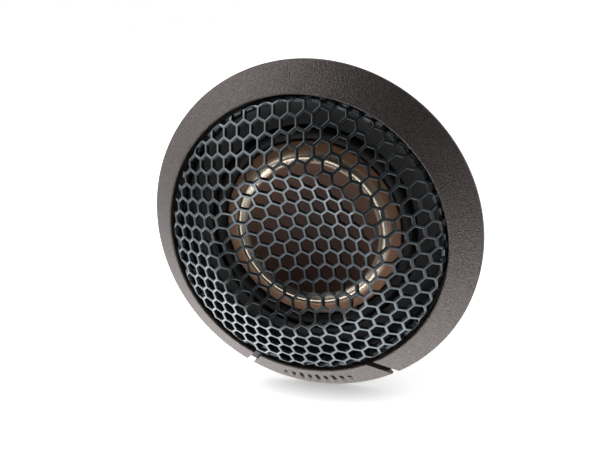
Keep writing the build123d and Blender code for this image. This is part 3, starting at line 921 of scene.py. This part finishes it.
def make_polarity_marks():
    """A plus beside the wide blade and a minus beside the narrow one, raised on the terminal board."""
    x, z = POLARITY_PLACE
    strokes = [
        (x, POLARITY_STROKE, POLARITY_ARM),
        (x, POLARITY_ARM, POLARITY_STROKE),
        (-x, POLARITY_ARM, POLARITY_STROKE),
    ]
    shapes = []
    for middle, half_width, half_height in strokes:
        outline = [(half_width * i, half_height * j) for i, j in ((-1, -1), (1, -1), (1, 1), (-1, 1))]
        shapes.append((
            outline, Vector((middle, -BOARD_BACK, z)), Vector((1, 0, 0)), Vector((0, 0, 1)),
            Vector((0, 1, 0)), (-POLARITY_ROOT, POLARITY_RISE),
        ))
    marks = prisms("polarity_marks", shapes)
    dress(marks, "sleeve_plastic")
    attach(marks, "frame")


make_ring()
make_badge()
make_voice_coil()
make_stud()
make_polarity_marks()
make_grille()
make_dome()
make_surround()
make_faceplate()


# ------------------------------------------------------------------ camera, light and floor
CAMERA_AZIMUTH = math.radians(18.14)
CAMERA_ELEVATION = math.radians(19.62)
CAMERA_ROLL = math.radians(4.6)       # how far the tweeter is turned about its own axis from upright
CAMERA_DISTANCE = 5 * RING_RADIUS     # from the plane of the ring's front edge, on its axis
CAMERA_LENS = 50.43
AIM = (0.033 * RING_RADIUS, -0.035 * RING_RADIUS)  # the ring's middle, right of and above the view's
# the two reaches below set the painted shadow that ambient occlusion darkens into the floor's glow
CONTACT_REACH = 4.0                   # the floor this near the tweeter is darkened most
SHADOW_REACH = 12.0                   # and this near it a little
FLOOR_HALF = 600                      # half the floor's side
FLOOR_DROP = 0.02                     # below the tweeter's lowest point


def turn_upright(v):
    """Turns a camera direction or place about the tweeter's axis by the roll."""
    c, s = math.cos(CAMERA_ROLL), math.sin(CAMERA_ROLL)
    return Vector((v.x * c + v.z * s, v.y, -v.x * s + v.z * c))


def make_camera():
    ca, sa = math.cos(CAMERA_AZIMUTH), math.sin(CAMERA_AZIMUTH)
    ce, se = math.cos(CAMERA_ELEVATION), math.sin(CAMERA_ELEVATION)
    back = Vector((sa * ce, -ca * ce, se))
    right = Vector((ca, sa, 0))
    up = back.cross(right)
    place = back * CAMERA_DISTANCE - right * AIM[0] - up * AIM[1]
    right, up, back, place = (turn_upright(v) for v in (right, up, back, place))
    place += Vector((0, -RING_EDGE, 0))
    data = bpy.data.cameras.new("camera")
    data.lens = CAMERA_LENS
    data.clip_start, data.clip_end = MM, 10
    camera = bpy.data.objects.new("camera", data)
    bpy.context.scene.collection.objects.link(camera)
    camera.matrix_world = Matrix((
        (right.x, up.x, back.x, place.x * MM),
        (right.y, up.y, back.y, place.y * MM),
        (right.z, up.z, back.z, place.z * MM),
        (0, 0, 0, 1),
    ))
    bpy.context.scene.camera = camera


def soft_light(name, place, size, power, mirrored):
    """A square softbox at place, in millimetres, facing the tweeter.

    It is either seen only in reflections, or lights everything and is left out of them.
    """
    data = bpy.data.lights.new(name, "AREA")
    data.size = size * MM
    data.energy = power
    light = bpy.data.objects.new(name, data)
    light.location = Vector(place) * MM
    light.visible_glossy = mirrored
    data.diffuse_factor = 0.0 if mirrored else 1.0
    light.rotation_mode = "QUATERNION"
    light.rotation_quaternion = light.location.to_track_quat("Z", "Y")
    bpy.context.scene.collection.objects.link(light)


class Sky:
    """The studio round the tweeter: brightness by direction, and plain white behind it for the camera."""

    def __init__(self):
        world = bpy.data.worlds.new("studio")
        bpy.context.scene.world = world
        world.use_nodes = True
        self.tree = world.node_tree
        self.direction = self.tree.nodes.new("ShaderNodeTexCoord").outputs["Generated"]
        self.total = None

    def math(self, operation, first, second):
        made = self.tree.nodes.new("ShaderNodeMath")
        made.operation = operation
        for socket, value in zip(made.inputs, (first, second)):
            if isinstance(value, bpy.types.NodeSocket):
                self.tree.links.new(value, socket)
            else:
                socket.default_value = value
        return made.outputs[0]

    def lobe(self, towards, start, full, strength, floor=0.0):
        """Adds light around a direction. It grows from floor, at the cosine start, to strength, at full."""
        dot = self.tree.nodes.new("ShaderNodeVectorMath")
        dot.operation = "DOT_PRODUCT"
        self.tree.links.new(self.direction, dot.inputs[0])
        dot.inputs[1].default_value = Vector(towards).normalized()
        span = self.tree.nodes.new("ShaderNodeMapRange")
        span.interpolation_type = "SMOOTHSTEP"
        self.tree.links.new(dot.outputs["Value"], span.inputs["Value"])
        limits = (("From Min", start), ("From Max", full), ("To Min", floor), ("To Max", strength))
        for name, value in limits:
            span.inputs[name].default_value = value
        light = span.outputs["Result"]
        self.total = light if self.total is None else self.math("ADD", self.total, light)

    def shade(self, towards, start, full, keep):
        """Dims what has been added so far to keep times its brightness around a direction."""
        before, self.total = self.total, None
        self.lobe(towards, start, full, keep, floor=1.0)
        self.total = self.math("MULTIPLY", before, self.total)

    def finish(self):
        seen = self.tree.nodes.new("ShaderNodeLightPath").outputs["Is Camera Ray"]
        strength = self.math("MAXIMUM", self.total, seen)
        self.tree.links.new(strength, self.tree.nodes["Background"].inputs["Strength"])
        self.tree.nodes["Background"].inputs["Color"].default_value = (1, 1, 1, 1)


def make_floor():
    """A pale floor that only the camera sees. It takes a little real shadow, and its glow carries a painted
    shadow, darkened near the tweeter by ambient occlusion. Its light is in the sky's lower half.
    """
    z = cad_bounds[0].z / MM - FLOOR_DROP
    corners = [(FLOOR_HALF * i, FLOOR_HALF * j, z) for i, j in ((-1, -1), (1, -1), (1, 1), (-1, 1))]
    floor = add_mesh("floor", corners, [(0, 1, 2, 3)])
    look = Look("pale_floor", (0.6, 0.6, 0.6), 0.8)
    look.tint(look.noise(200), 0.99, 1.0)
    # painted shadow: the glow's colour and strength fall near the tweeter, by ambient occlusion
    near = look.node("ShaderNodeAmbientOcclusion", Distance=CONTACT_REACH * MM).outputs["AO"]
    look.tree.links.new(look.spread(near, 0.4, 1.0), look.shader.inputs["Emission Color"])
    wide = look.node("ShaderNodeAmbientOcclusion", Distance=SHADOW_REACH * MM).outputs["AO"]
    look.tree.links.new(look.spread(wide, 0.75, 1.0), look.shader.inputs["Emission Strength"])
    floor.data.materials.append(look.material)
    floor.visible_diffuse = floor.visible_glossy = floor.visible_transmission = False


def make_light():
    sky = Sky()
    # bright below, where a white floor would be, nearly black above, and dim on the camera's side
    sky.lobe((0, 0, -1), -1.0, 1.0, 0.95, floor=0.004)
    sky.shade((0, -1, 0), 0.1, 0.95, 0.25)
    # broad and low on the left: mirrored by the left of the ring and of the grille's outer cone
    sky.lobe((-0.86, 0.25, -0.45), 0.66, 1.0, 0.5)
    # lower and tighter: the lower left of the ring and cone, and the upper right of the grille's dish
    sky.lobe((-0.68, 0.0, -0.73), 0.88, 0.99, 2.1)
    # almost straight below: the lower right of the cone, and the upper left of the dish
    sky.lobe((0.06, -0.33, -0.94), 0.86, 0.98, 1.3)
    # low on the right: the lower right of the ring
    sky.lobe((0.45, 0.10, -0.88), 0.6, 1.0, 0.9)
    # high on the left: the upper left of the ring
    sky.lobe((-0.72, -0.05, 0.69), 0.8, 1.0, 3.2)
    # behind: the outer walls, and the back when it is seen
    sky.lobe((0, 1, 0), 0.4, 1.0, 0.5)
    sky.finish()
    soft_light("front", (-90, -230, -230), size=540, power=1.0, mirrored=True)
    soft_light("top", (-15, -5, 260), size=150, power=0.04, mirrored=False)


make_camera()
make_floor()
make_light()
bpy.context.scene.view_settings.view_transform = "Standard"
